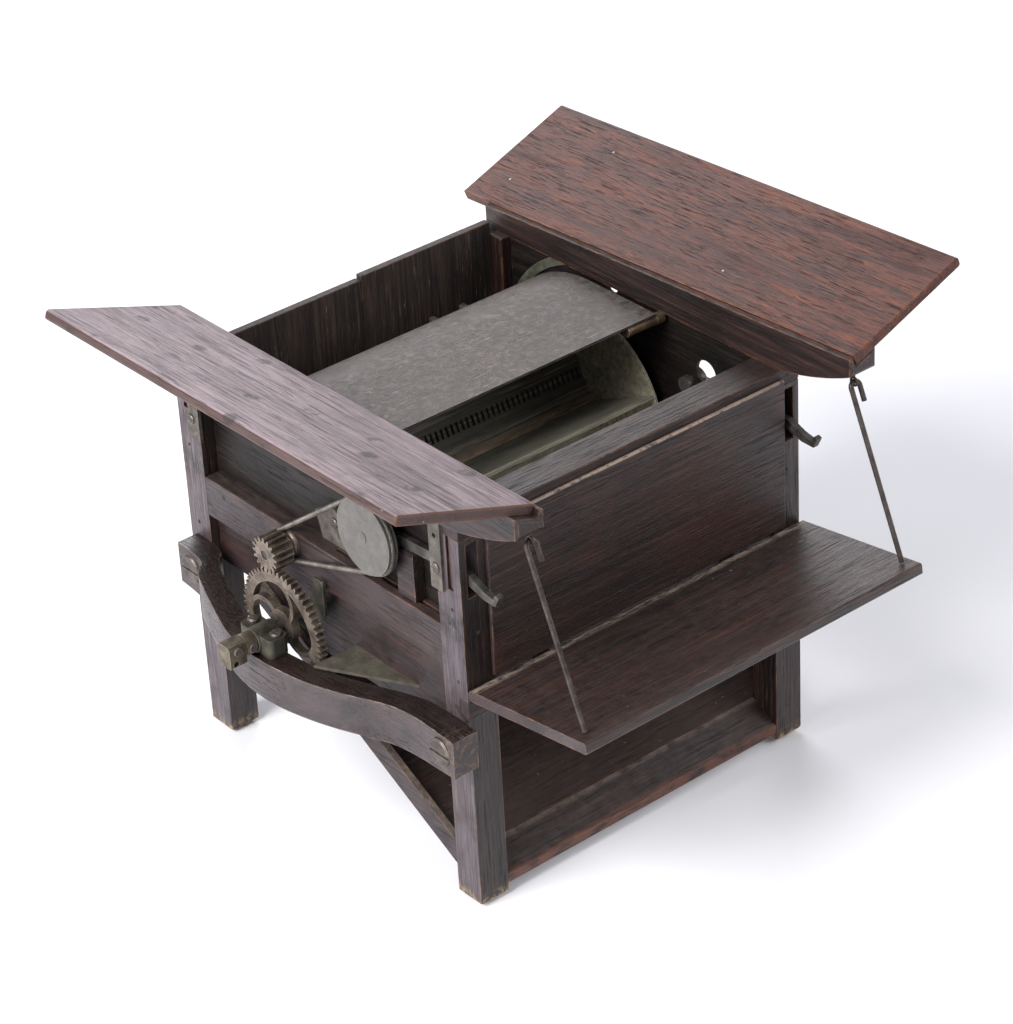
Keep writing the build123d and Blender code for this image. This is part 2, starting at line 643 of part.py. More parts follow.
hood += bar_x(hood_hinge_y, hood_hinge_z, *barrel_x, hinge_barrel)
hood += mirror_x(bar_x(hood_hinge_y, hood_hinge_z, *barrel_x, hinge_barrel))
hood -= bar_x(hood_hinge_y, hood_hinge_z, 0, body_width, hinge_pin_radius + running_gap)
add("hood", hood)

hinge_pin_x = (barrel_x[0] - 5, barrel_x[1] + 5)
hood_pin = bar_x(hood_hinge_y, hood_hinge_z, *hinge_pin_x, hinge_pin_radius)
add("hood_hinge_pins", Compound([hood_pin, mirror_x(hood_pin)]))
ear_radius = 1.9
ears = []
for x0 in (hinge_pin_x[0], hinge_pin_x[1] - 3):
    ear = block((x0, x0 + 3), (hood_hinge_y, back_y[0]), (hood_hinge_z - ear_radius, hood_hinge_z + ear_radius))
    ear += bar_x(hood_hinge_y, hood_hinge_z, x0, x0 + 3, ear_radius)
    ear -= bar_x(hood_hinge_y, hood_hinge_z, x0 - 1, x0 + 4, hinge_pin_radius)
    ears += [ear, mirror_x(ear)]
add("hood_hinge_ears", Compound(ears))

casing_top_angle = hood_back_angle - radians(4)
casing_middle = (casing_top_angle + casing_low_angle) / 2
casing_edges = [
    ThreePointArc(arc_point(outer, casing_low_angle), arc_point(outer, casing_middle),
                  arc_point(outer, casing_top_angle)),
    Line(arc_point(outer, casing_top_angle), arc_point(hood_radius, casing_top_angle)),
    ThreePointArc(arc_point(hood_radius, casing_top_angle), arc_point(hood_radius, casing_middle),
                  arc_point(hood_radius, casing_low_angle)),
    Line(arc_point(hood_radius, casing_low_angle), arc_point(outer, casing_low_angle)),
]
casing = extrude(Plane.YZ.offset(inner_left) * make_face(Wire(casing_edges)),
                 amount=inner_right - inner_left)
add("back_casing", casing)

# Pins in the walls that the hood's flap rests on, each with a collar against the wall
rest_pin_radius = 2.6
rest_pin_z = drum_axis_z + hood_radius - rest_pin_radius - 0.3
rest_pin_y = flap_front_y + 2.0
rest_pin_x = left_bar_x + bar_ledge
pin = bar_x(rest_pin_y, rest_pin_z, rest_pin_x, 34.0, rest_pin_radius)
pin += bar_x(rest_pin_y, rest_pin_z, rest_pin_x, 16.5, rest_pin_radius + 0.25)
add("hood_rest_pins", Compound([pin, mirror_x(pin)]))

# A thin brace plate ties the lower panel to the bowed rail's top.
brace_outline = Polygon((5, 42), (5, 87.5), (-19, 87.5), align=None)
brace = Pos(0, 0, rail_high_z + 0.3) * extrude(brace_outline, amount=1.4)
add("brace_plate", brace)

# ---------------------------------------------------------------- table
half = table_thickness / 2
table_outline = [
    Line((0, half), (-table_depth, half)),
    Line((-table_depth, half), (-table_depth, -half)),
    Line((-table_depth, -half), (0, -half)),
    ThreePointArc((0, -half), (half, 0), (0, half)),
]
table = extrude(Plane.YZ * make_face(Wire(table_outline)), amount=body_width)
far_edges = table.faces().sort_by(Axis.Y)[0].edges()
table = fillet(far_edges.filter_by(Axis.X), 1.2)
knuckle_radius = 1.9
table_pin_radius = 0.9
knuckle_x = ((40.0, 48.0), (152.0, 160.0))
pocket_gap = 0.4
for low_x, high_x in knuckle_x:
    pocket_x = (low_x - pocket_gap, high_x + pocket_gap)
    table -= block(pocket_x, (-knuckle_radius - pocket_gap, half + 1), (-half - 1, knuckle_radius + 0.25))
    table -= bar_x(0, 0, low_x - 6, high_x + 6, table_pin_radius)
at_table = Pos(0, table_axis_y, table_axis_z) * Rot(-table_tilt, 0, 0)
add("front_table", at_table * table)
table_pins = [bar_x(0, 0, low_x - 6, high_x + 6, table_pin_radius) for low_x, high_x in knuckle_x]
add("table_hinge_pins", Pos(0, table_axis_y, table_axis_z) * Compound(table_pins))
knuckles = []
for low_x, high_x in knuckle_x:
    knuckle = bar_x(table_axis_y, table_axis_z, low_x, high_x, knuckle_radius)
    knuckle += block((low_x, high_x), (table_axis_y, lining_y[0]),
                     (table_axis_z - knuckle_radius, table_axis_z))
    knuckle -= bar_x(table_axis_y, table_axis_z, low_x - 1, high_x + 1, table_pin_radius + running_gap)
    knuckles.append(knuckle)
add("table_hinge_knuckles", Compound(knuckles))

# ---------------------------------------------------------------- stays and their hooks
stay_foot_reach = 68.0           # from the table's hinge to the stay's foot, along the table
stay_foot_y = table_axis_y - stay_foot_reach * cos(radians(table_tilt)) - 0.5
stay_foot_z = table_axis_z + stay_foot_reach * sin(radians(table_tilt)) + half + 0.9
stay_x = (6.0, 194.5)
stay_bend = 2.6
stay_end = 7.5


def stay(x):
    """A wire stay, bent over at its top through its eye, with its foot on the table."""
    top = Vector(x, stay_hook_y, stay_hook_z)
    bottom = Vector(x, stay_foot_y, stay_foot_z)
    along = (bottom - top).normalized()
    side = Vector(1, 0, 0)
    rise = along * -stay_bend
    shoulder = top - rise
    far_shoulder = shoulder + side * 2 * stay_bend
    path = [Line(bottom, shoulder), ThreePointArc(shoulder, shoulder + side * stay_bend + rise, far_shoulder),
            Line(far_shoulder, far_shoulder + along * stay_end)]
    wire = None
    for edge in path:
        section = Plane(origin=edge @ 0, z_dir=edge % 0) * Circle(stay_radius)
        length = sweep(section, path=edge)
        wire = length if wire is None else wire + length
    return wire


add("stay_left", stay(stay_x[0]))
add("stay_right", stay(stay_x[1]))

eye_ring = 1.95
eye_wire = 0.55
eyes = []
for x in stay_x:
    eye_x = x + stay_bend
    ring = Pos(eye_x, stay_hook_y, stay_hook_z) * Rot(0, 90, 0) * Torus(eye_ring, eye_wire)
    shank = bar_z(eye_x, stay_hook_y, stay_hook_z + eye_ring, bar_tip_z + 3.5, eye_wire)
    eyes.append(ring + shank)
    pilot = bar_z(eye_x, stay_hook_y, stay_hook_z, bar_tip_z + 3.5, eye_wire)
    for bar_name in ("left_bar", "right_bar"):
        nodes[bar_name] -= pilot
add("stay_eyes", Compound(eyes))

# ---------------------------------------------------------------- origin and files
everything = Compound(list(nodes.values()))
box = everything.bounding_box()
shift = (-(box.min.X + box.max.X) / 2, -(box.min.Y + box.max.Y) / 2, -box.min.Z)
print("box", box.min, box.max)
print("shift to the middle of the box", [round(v, 4) for v in shift])

os.makedirs("parts", exist_ok=True)
for name, piece in nodes.items():
    export_step(Pos(*shift) * piece, "parts/" + name + ".step")
print(len(nodes), "nodes")
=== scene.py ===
import math
import random

import bmesh
import bpy
from bpy.props import FloatProperty, FloatVectorProperty, PointerProperty
from mathutils import Matrix, Vector


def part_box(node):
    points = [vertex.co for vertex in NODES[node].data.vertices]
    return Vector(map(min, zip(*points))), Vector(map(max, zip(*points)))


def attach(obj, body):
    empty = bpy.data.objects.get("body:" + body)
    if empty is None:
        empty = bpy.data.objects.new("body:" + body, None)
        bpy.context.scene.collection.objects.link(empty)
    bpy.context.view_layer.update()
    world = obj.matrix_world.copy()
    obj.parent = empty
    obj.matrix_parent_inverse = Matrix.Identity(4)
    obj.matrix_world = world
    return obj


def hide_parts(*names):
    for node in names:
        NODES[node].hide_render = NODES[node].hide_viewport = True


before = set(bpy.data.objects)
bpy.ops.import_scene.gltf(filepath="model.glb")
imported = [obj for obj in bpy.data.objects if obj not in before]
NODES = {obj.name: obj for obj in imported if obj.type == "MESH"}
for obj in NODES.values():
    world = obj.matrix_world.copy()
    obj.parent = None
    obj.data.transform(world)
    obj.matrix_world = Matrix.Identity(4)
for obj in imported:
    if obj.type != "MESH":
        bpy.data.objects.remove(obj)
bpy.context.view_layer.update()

bl_info = {
    "name": "Hand-cranked drum machine",
    "version": (1, 0, 0),
    "blender": (4, 5, 0),
    "location": "View3D > Sidebar > Drum machine",
    "description": "Finishes, fine pieces and studio for a hand-cranked drum machine on its stand",
    "category": "Add Mesh",
}

CORNER = Vector(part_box("leg_front_left")[0])
MM = 0.001
ACROSS_X, ALONG_Y, UPRIGHT = 0, 1, 2


def at(x, y, z):
    """A point given in millimetres from the outer bottom corner of the gear side's front leg."""
    return CORNER + Vector((x, y, z)) * MM


# ------------------------------------------------------------------ shader building
class Value:
    """A number that varies over a surface. Sums and products of it add Math nodes."""

    def __init__(self, paint, socket):
        self.paint = paint
        self.socket = socket

    def math(self, operation, first, second):
        made = self.paint.node("ShaderNodeMath", {"operation": operation}, {0: first, 1: second})
        return Value(self.paint, made.outputs[0])

    def __add__(self, other):
        return self.math("ADD", self, other)

    __radd__ = __add__

    def __sub__(self, other):
        return self.math("SUBTRACT", self, other)

    def __rsub__(self, other):
        return self.math("SUBTRACT", other, self)

    def __mul__(self, other):
        return self.math("MULTIPLY", self, other)

    __rmul__ = __mul__

    def at_most(self, other):
        """The smaller of two numbers."""
        return self.math("MINIMUM", self, other)

    def at_least(self, other):
        """The larger of two numbers."""
        return self.math("MAXIMUM", self, other)

    def size(self):
        """The number without its sign."""
        return self.at_least(0 - self)

    def rise(self, low, high):
        """0 below low, 1 above high, smooth between; low may be the larger."""
        made = self.paint.node("ShaderNodeMapRange", {"interpolation_type": "SMOOTHSTEP"},
                               {"Value": self, "From Min": low, "From Max": high})
        return Value(self.paint, made.outputs[0])


class Paint:
    """One material and the nodes that go into it."""

    def __init__(self, name):
        self.material = bpy.data.materials.new(name)
        self.material.use_nodes = True
        self.tree = self.material.node_tree
        self.tree.nodes.clear()
        self.shader = self.node("ShaderNodeBsdfPrincipled")
        self.node("ShaderNodeOutputMaterial", None, {"Surface": self.shader.outputs[0]})
        coordinates = self.node("ShaderNodeTexCoord")
        moved = self.node("ShaderNodeVectorMath", {"operation": "SUBTRACT"},
                          {0: coordinates.outputs["Object"], 1: CORNER})
        scaled = self.node("ShaderNodeVectorMath", {"operation": "SCALE"},
                           {0: moved.outputs[0], "Scale": 1 / MM})
        self.place = scaled.outputs[0]
        split = self.node("ShaderNodeSeparateXYZ", None, {0: self.place})
        self.x, self.y, self.z = (Value(self, socket) for socket in split.outputs)
        self.geometry = self.node("ShaderNodeNewGeometry")
        facing = self.node("ShaderNodeSeparateXYZ", None, {0: self.geometry.outputs["Normal"]})
        self.facing_x, self.facing_y, self.facing_z = (Value(self, s) for s in facing.outputs)

    def node(self, kind, settings=None, inputs=None):
        """Adds a node: its settings first, then its sockets' values or links."""
        made = self.tree.nodes.new(kind)
        for key, value in (settings or {}).items():
            setattr(made, key, value)
        for key, value in (inputs or {}).items():
            self.plug(made.inputs[key], value)
        return made

    def plug(self, socket, value):
        """Links a value or socket to a socket, or sets a constant on it."""
        if isinstance(value, Value):
            self.tree.links.new(value.socket, socket)
        elif isinstance(value, bpy.types.NodeSocket):
            self.tree.links.new(value, socket)
        elif socket.type == "RGBA":
            socket.default_value = (*value[:3], 1.0)
        else:
            socket.default_value = value

    def noise(self, sizes, detail=3.0, roughness=0.55, distortion=0.0, shift=0.0):
        """Noise whose features have the given sizes in millimetres along X, Y and Z."""
        scale = Vector([1 / size for size in sizes])
        stretched = self.node("ShaderNodeVectorMath", {"operation": "MULTIPLY_ADD"},
                              {0: self.place, 1: scale, 2: Vector((shift, shift * 1.7, shift * 0.6))})
        made = self.node("ShaderNodeTexNoise", {"noise_dimensions": "3D"},
                         {"Vector": stretched.outputs[0], "Scale": 1.0, "Detail": detail,
                          "Roughness": roughness, "Distortion": distortion})
        return Value(self, made.outputs[0])

    def specks(self, size, radius, shift=0.0):
        """1 inside small round spots scattered about one to a cell of the given size."""
        scale = Vector((1 / size, 1 / size, 1 / size))
        stretched = self.node("ShaderNodeVectorMath", {"operation": "MULTIPLY_ADD"},
                              {0: self.place, 1: scale, 2: Vector((shift, shift, shift))})
        cells = self.node("ShaderNodeTexVoronoi", {"feature": "F1"},
                          {"Vector": stretched.outputs[0], "Scale": 1.0})
        return Value(self, cells.outputs["Distance"]).rise(radius, radius * 0.6)

    def edges(self, radius):
        """1 on outer edges, falling to 0 on flat faces, over a radius in millimetres."""
        rounded = self.node("ShaderNodeBevel", {"samples": 4}, {"Radius": radius * MM})
        closeness = self.node("ShaderNodeVectorMath", {"operation": "DOT_PRODUCT"},
                              {0: rounded.outputs[0], 1: self.geometry.outputs["Normal"]})
        return Value(self, closeness.outputs["Value"]).rise(0.995, 0.90)

    def mix(self, factor, first, second, blend="MIX"):
        """One colour over another."""
        made = self.node("ShaderNodeMix", {"data_type": "RGBA", "blend_type": blend},
                         {0: factor, 6: first, 7: second})
        return made.outputs[2]

    def near(self, axis_value, middle, half, soft):
        """1 where a coordinate is within half of the middle, fading over soft."""
        return (axis_value - middle).size().rise(half + soft, half)

    def finish(self, colour, roughness, height, depth, metallic=0.0, specular=0.5, coat=0.0):
        """Wires the colour, roughness and relief to the shader and gives the material back."""
        self.plug(self.shader.inputs["Base Color"], colour)
        self.plug(self.shader.inputs["Roughness"], roughness)
        self.plug(self.shader.inputs["Metallic"], metallic)
        self.shader.inputs["Specular IOR Level"].default_value = specular
        self.shader.inputs["Coat Weight"].default_value = coat
        self.shader.inputs["Coat Roughness"].default_value = 0.25
        relief = self.node("ShaderNodeBump", None,
                           {"Height": height, "Distance": depth * MM, "Strength": 1.0})
        self.plug(self.shader.inputs["Normal"], relief.outputs["Normal"])
        return self.material


def grain_sizes(grain, across, along):
    """Feature sizes along X, Y and Z for a grain that runs along one axis."""
    return [along if axis == grain else across for axis in range(3)]


def wood(name, grain, dark, mid, light, shift=0.0, gloss=0.36, wear=0.6, worn=(0.30, 0.13, 0.05),
         dust=0.25, dust_colour=(0.21, 0.17, 0.16), pores=1.0, specular=0.5, sheen=0.12,
         extra=None):
    """Old stained wood: bands, fibres, open pores, worn edges, dust on what faces up, and a painted
    sheen that lightens what faces -X on the gear side toward mauve-grey as if it reflected light."""
    paint = Paint(name)
    bands = paint.noise(grain_sizes(grain, 7, 150), 3, 0.55, 0.6, shift)
    fibre = paint.noise(grain_sizes(grain, 1.5, 46), 5, 0.65, 0.25, shift + 3)
    fine = paint.noise(grain_sizes(grain, 0.5, 6), 3, 0.7, 0.0, shift + 5)
    blotch = paint.noise([26, 26, 26], 5, 0.65, 0.6, shift + 9)
    pore = paint.noise(grain_sizes(grain, 0.6, 24), 2, 0.5, 0.1, shift + 13).rise(0.575, 0.62) * pores
    crowd = paint.noise(grain_sizes(grain, 12, 60), 3, 0.6, 0.3, shift + 15).rise(0.35, 0.62)
    pore = pore * (crowd * 0.8 + 0.2)
    colour = paint.mix(bands.rise(0.36, 0.62), dark, mid)
    colour = paint.mix(fibre.rise(0.46, 0.70) * 0.85, colour, light)
    colour = paint.mix(fine.rise(0.50, 0.62) * 0.5, colour, [c * 0.5 for c in dark])
    colour = paint.mix(blotch.rise(0.50, 0.66) * 0.4, colour, [c * 0.5 for c in dark])
    colour = paint.mix(pore * 0.9, colour, [c * 0.2 for c in dark])
    patchy = paint.noise([9, 9, 9], 4, 0.7, 0.0, shift + 17).rise(0.47, 0.60)
    rubbed = paint.edges(1.0) * (patchy * 0.85 + 0.15) * wear
    colour = paint.mix(rubbed, colour, worn)
    settled = fine * 0.6 + paint.noise([6, 6, 6], 6, 0.75, 0.0, shift + 21) * 0.9
    resting = paint.facing_z.rise(0.35, 0.95) * settled
    dusty = resting.rise(0.45, 1.05) * dust
    colour = paint.mix(dusty, colour, dust_colour)
    rough = gloss + fibre * 0.18 + pore * 0.3 + dusty * 0.35 - rubbed * 0.1
    # Painted sheen: faces turned towards -X on the gear side are lightened toward mauve-grey, standing in for
    # reflected light.
    painted_sheen_mask = (paint.facing_x * -1).rise(0.55, 0.95) * paint.x.rise(40.0, 20.0) * sheen
    painted_sheen_mask = painted_sheen_mask * (1 - fibre.rise(0.35, 0.60) * 0.6) * (1 - blotch.rise(0.45, 0.62) * 0.6)
    colour = paint.mix(painted_sheen_mask, colour, (0.30, 0.255, 0.30))
    if extra is not None:
        colour, rough = extra(paint, colour, rough)
    height = fibre * 0.8 + fine * 0.6 - pore * 1.2 + blotch * 0.5
    return paint.finish(colour, rough, height, 0.30, specular=specular)


def metal(name, tone, deep, rough=0.4, tarnish=(0.10, 0.11, 0.08), tarnish_cover=0.5, bright=0.5,
          scratches=0.5, scratch_axis=ALONG_Y, shift=0.0, metallic=0.85, relief=0.06, dust=0.0):
    """Old metal: mottled tone, tarnish in patches, bright rubbed edges and fine scratches."""
    paint = Paint(name)
    mottle = paint.noise([7, 7, 7], 5, 0.62, 0.3, shift)
    fine = paint.noise([0.7, 0.7, 0.7], 3, 0.6, 0.0, shift + 4)
    patch = paint.noise([3.2, 3.2, 3.2], 5, 0.65, 0.4, shift + 8)
    cover = (patch + mottle * 0.3).rise(0.56, 0.80) * tarnish_cover
    colour = paint.mix(mottle.rise(0.35, 0.68), deep, tone)
    colour = paint.mix(cover, colour, tarnish)
    line = paint.noise(grain_sizes(scratch_axis, 0.6, 22), 2, 0.5, 0.8, shift + 12).rise(0.60, 0.66)
    line = line * paint.noise([14, 14, 14], 2, 0.5, 0.0, shift + 15).rise(0.46, 0.62) * scratches
    colour = paint.mix(line, colour, [min(1.0, c * 1.9) for c in tone])
    rubbed = paint.edges(0.45) * bright
    colour = paint.mix(rubbed, colour, [min(1.0, c * 1.7) for c in tone])
    dusty = paint.facing_z.rise(0.2, 0.9) * patch.rise(0.35, 0.75) * dust
    colour = paint.mix(dusty, colour, (0.30, 0.28, 0.26))
    roughness = rough + cover * 0.3 + fine * 0.12 - rubbed * 0.12 + dusty * 0.3
    shine = (1 - cover * 0.6 - dusty * 0.8) * metallic
    height = mottle * 0.8 + fine * 0.3 - line * 0.5
    return paint.finish(colour, roughness, height, relief, metallic=shine)


# ------------------------------------------------------------------ mesh helpers
def dress(names, material, soften=0.0):
    """Gives CAD pieces a finish and, if asked, slightly rounded edges, in millimetres."""
    for name in names:
        thing = NODES[name]
        for held in thing.material_slots:
            held.material = material
        if soften:
            weld = thing.modifiers.new("weld", "WELD")
            weld.merge_threshold = 0.00001
            bevel = thing.modifiers.new("soft_edges", "BEVEL")
            bevel.width = soften * MM
            bevel.segments = 2
            bevel.limit_method = "ANGLE"
            bevel.angle_limit = math.radians(38)
            bevel.harden_normals = False


def new_piece(name, mesh_builder, material, body):
    """Makes a new mesh piece, finished, riding on a body."""
    mesh = bpy.data.meshes.new(name)
    made = bmesh.new()
    mesh_builder(made)
    bmesh.ops.recalc_face_normals(made, faces=made.faces)
    made.to_mesh(mesh)
    made.free()
    thing = bpy.data.objects.new(name, mesh)
    bpy.context.scene.collection.objects.link(thing)
    mesh.materials.append(material)
    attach(thing, body)
    return thing


def tube(made, points, radius, sides=8, closed=False, smooth=True):
    """Adds a round tube along a list of points."""
    rings = []
    count = len(points)
    previous = None
    for index, point in enumerate(points):
        ahead = points[(index + 1) % count] if closed or index + 1 < count else point
        behind = points[index - 1] if closed or index > 0 else point
        along = (ahead - behind).normalized()
        if previous is None:
            side = along.orthogonal().normalized()
        else:
            side = (previous - along * previous.dot(along)).normalized()
        previous = side
        other = along.cross(side)
        ring = []
        for k in range(sides):
            angle = 2 * math.pi * k / sides
            ring.append(made.verts.new(point + (side * math.cos(angle) + other * math.sin(angle)) * radius))
        rings.append(ring)
    pairs = list(zip(rings, rings[1:]))
    if closed:
        pairs.append((rings[-1], rings[0]))
    for near, far in pairs:
        for k in range(sides):
            face = made.faces.new((near[k], near[(k + 1) % sides], far[(k + 1) % sides], far[k]))
            face.smooth = smooth
    if not closed:
        made.faces.new(rings[0])
        made.faces.new(rings[-1])


def turned(made, base, axis, profile, sides=20):
    """Adds a turned piece: profile is a list of (distance along the axis, radius)."""
    axis = axis.normalized()
    side = axis.orthogonal().normalized()
    other = axis.cross(side)
    rings = []
    for along, radius in profile:
        ring = []
        for k in range(sides):
            angle = 2 * math.pi * k / sides
            offset = (side * math.cos(angle) + other * math.sin(angle)) * radius
            ring.append(made.verts.new(base + axis * along + offset))
        rings.append(ring)
    for near, far in zip(rings, rings[1:]):
        for k in range(sides):
            face = made.faces.new((near[k], near[(k + 1) % sides], far[(k + 1) % sides], far[k]))
            face.smooth = True
    made.faces.new(rings[0])
    made.faces.new(rings[-1])


# ------------------------------------------------------------------ settings
class DrumMachineSettings(bpy.types.PropertyGroup):
    """Sizes and colours that can be changed before the pieces are made."""

    wood_dark: FloatVectorProperty(
        name="Dark stain", description="Darkest tone of the stained wood", subtype="COLOR",
        default=(0.0075, 0.0040, 0.0036), min=0.0, max=1.0)
    wood_mid: FloatVectorProperty(
        name="Middle stain", description="Main tone of the stained wood", subtype="COLOR",
        default=(0.024, 0.0110, 0.0090), min=0.0, max=1.0)
    wood_light: FloatVectorProperty(
        name="Light fibres", description="Tone of the lightest fibres", subtype="COLOR",
        default=(0.058, 0.0270, 0.0210), min=0.0, max=1.0)
    wood_red: FloatVectorProperty(
        name="Red stain", description="Main tone of the reddish boards", subtype="COLOR",
        default=(0.085, 0.0190, 0.0065), min=0.0, max=1.0)
    worn_wood: FloatVectorProperty(
        name="Worn edge", description="Bare wood on rubbed edges", subtype="COLOR",
        default=(0.28, 0.115, 0.045), min=0.0, max=1.0)
    edge_softness: FloatProperty(
        name="Edge softness", description="Rounding of the wooden edges in millimetres",
        default=0.7, min=0.1, max=1.5)
    coil_pitch: FloatProperty(
        name="Coil pitch", description="Distance between the belt's coils", unit="LENGTH",
        default=0.0008, min=0.0005, max=0.003)
    coil_wire: FloatProperty(
        name="Coil wire radius", description="Radius of the belt's wire", unit="LENGTH",
        default=0.00028, min=0.0001, max=0.0006)
    light_power: FloatProperty(
        name="Light power", description="Power of the main soft light", unit="POWER",
        default=46.0, min=1.0, max=500.0)


def settings():
    """The scene's settings."""
    return bpy.context.scene.drum_machine


# ------------------------------------------------------------------ wooden pieces
def stand_wood(name, grain, shift, **changes):
    """The dark stained wood of the stand, with its grain along one axis."""
    tones = settings()
    values = dict(worn=tuple(tones.worn_wood), shift=shift)
    values.update(changes)
    return wood(name, grain, tuple(tones.wood_dark), tuple(tones.wood_mid), tuple(tones.wood_light), **values)


def worn_foot(paint, colour, rough):
    """Grime with painted contact shade in bands round the rails' ends, pale bare wood at the foot and scuffs
    low on the leg.
    """
    # Grime and painted shade: near-black patches in bands where the rails meet the leg.
    grime_and_shade = paint.near(paint.z, 101.5, 1.0, 7.0) + paint.near(paint.z, 150.0, 2.0, 9.0)
    grime_and_shade = grime_and_shade.at_most(1.0) * paint.noise([5, 5, 5], 5, 0.7, 0.0, 43).rise(0.40, 0.60)
    colour = paint.mix(grime_and_shade * 0.75, colour, (0.006, 0.004, 0.0035))
    low = paint.z.rise(9.0, 0.5) * paint.noise([3.5, 3.5, 3.5], 4, 0.7).rise(0.45, 0.58)
    colour = paint.mix(low * 0.85, colour, (0.42, 0.30, 0.15))
    scuff = paint.z.rise(60, 10) * paint.noise([1.2, 1.2, 7], 3, 0.6, 0.0, 40).rise(0.62, 0.70)
    return paint.mix(scuff * 0.4, colour, (0.20, 0.10, 0.06)), rough + low * 0.3


def paint_stand():
    """Legs, rails, front panel and walls."""
    soft = settings().edge_softness
    leg_wood = stand_wood("stained_wood_upright", UPRIGHT, 1.0, extra=worn_foot, gloss=0.27, sheen=0.3)
    across = stand_wood("stained_wood_across", ACROSS_X, 5.0, gloss=0.32, specular=0.35, dust=0.12)
    along = stand_wood("stained_wood_along", ALONG_Y, 9.0, gloss=0.28, sheen=0.08)

    def panel_marks(paint, colour, rough):
        """A warm middle and a dusty upper edge, with the rubbed line under it."""
        warm = paint.noise([45, 45, 30], 3, 0.6, 0.3, 31).rise(0.42, 0.66)
        colour = paint.mix(warm * 0.45, colour, (0.048, 0.0125, 0.0065))
        ledge = paint.z.rise(197.6, 198.3) * paint.noise([3, 3, 3], 4, 0.7, 0.0, 33).rise(0.30, 0.52)
        return paint.mix(ledge * 0.75, colour, (0.36, 0.28, 0.23)), rough + ledge * 0.3

    front = stand_wood("stained_wood_front", ACROSS_X, 13.0, extra=panel_marks, gloss=0.33, dust=0.2)
    dress(["leg_front_left", "leg_front_right", "leg_back_left", "leg_back_right"], leg_wood, soft)
    dress(["front_top_rail", "front_middle_rail"], across, soft * 0.7)
    dress(["front_lining"], across)
    dress(["front_panel"], front, soft * 0.7)
    dress(["left_middle_rail", "right_middle_rail", "lever_rests"], along, soft * 0.7)
    dress(["lower_panels"], along)

    def bow_marks(paint, colour, rough):
        """Pale chips where the front end is knocked and bare specks along the rail."""
        chipped = paint.y.rise(12, -3) * paint.noise([2.5, 2.5, 2.5], 4, 0.7, 0.0, 45).rise(0.53, 0.60)
        colour = paint.mix(chipped * 0.6, colour, (0.17, 0.10, 0.065))
        top = paint.facing_z.rise(0.5, 0.9)
        colour = paint.mix(top * 0.6, colour, (0.010, 0.0055, 0.0045))
        bare = paint.specks(10, 0.07, 6.0) * paint.edges(2.0).rise(0.05, 0.3)
        return paint.mix(bare * 0.8, colour, (0.45, 0.36, 0.28)), rough - top * 0.08 + chipped * 0.2

    bow = stand_wood("stained_wood_bow", ALONG_Y, 17.0, gloss=0.24, wear=1.0, dust=0.1,
                     worn=(0.33, 0.22, 0.15), specular=0.6, sheen=0.10, extra=bow_marks)
    dress(["bowed_rail"], bow, 1.3)

    def whitish_scratches(paint, colour, rough):
        """Pale upright scratches on the inner face of the back boards."""
        line = paint.noise([0.8, 0.8, 16], 3, 0.6, 0.7, 51).rise(0.64, 0.70)
        line = line * paint.noise([20, 20, 20], 2, 0.6, 0.0, 53).rise(0.40, 0.60)
        return paint.mix(line * 0.5, colour, (0.30, 0.27, 0.23)), rough

    back = wood("blackened_wood_back", UPRIGHT, dark=(0.012, 0.008, 0.007), mid=(0.031, 0.019, 0.015),
                light=(0.070, 0.044, 0.033), shift=21.0, gloss=0.5, wear=0.5,
                worn=tuple(settings().worn_wood), extra=whitish_scratches)
    dress(["back_board_left", "back_board_right"], back, 0.4)
    wall = wood("blackened_wood_wall", ALONG_Y, dark=(0.004, 0.003, 0.0027), mid=(0.009, 0.0062, 0.0052),
                light=(0.026, 0.017, 0.014), shift=25.0, gloss=0.36, wear=0.3, sheen=0.0, specular=0.3)
    dress(["left_side_panel", "right_side_panel"], wall)


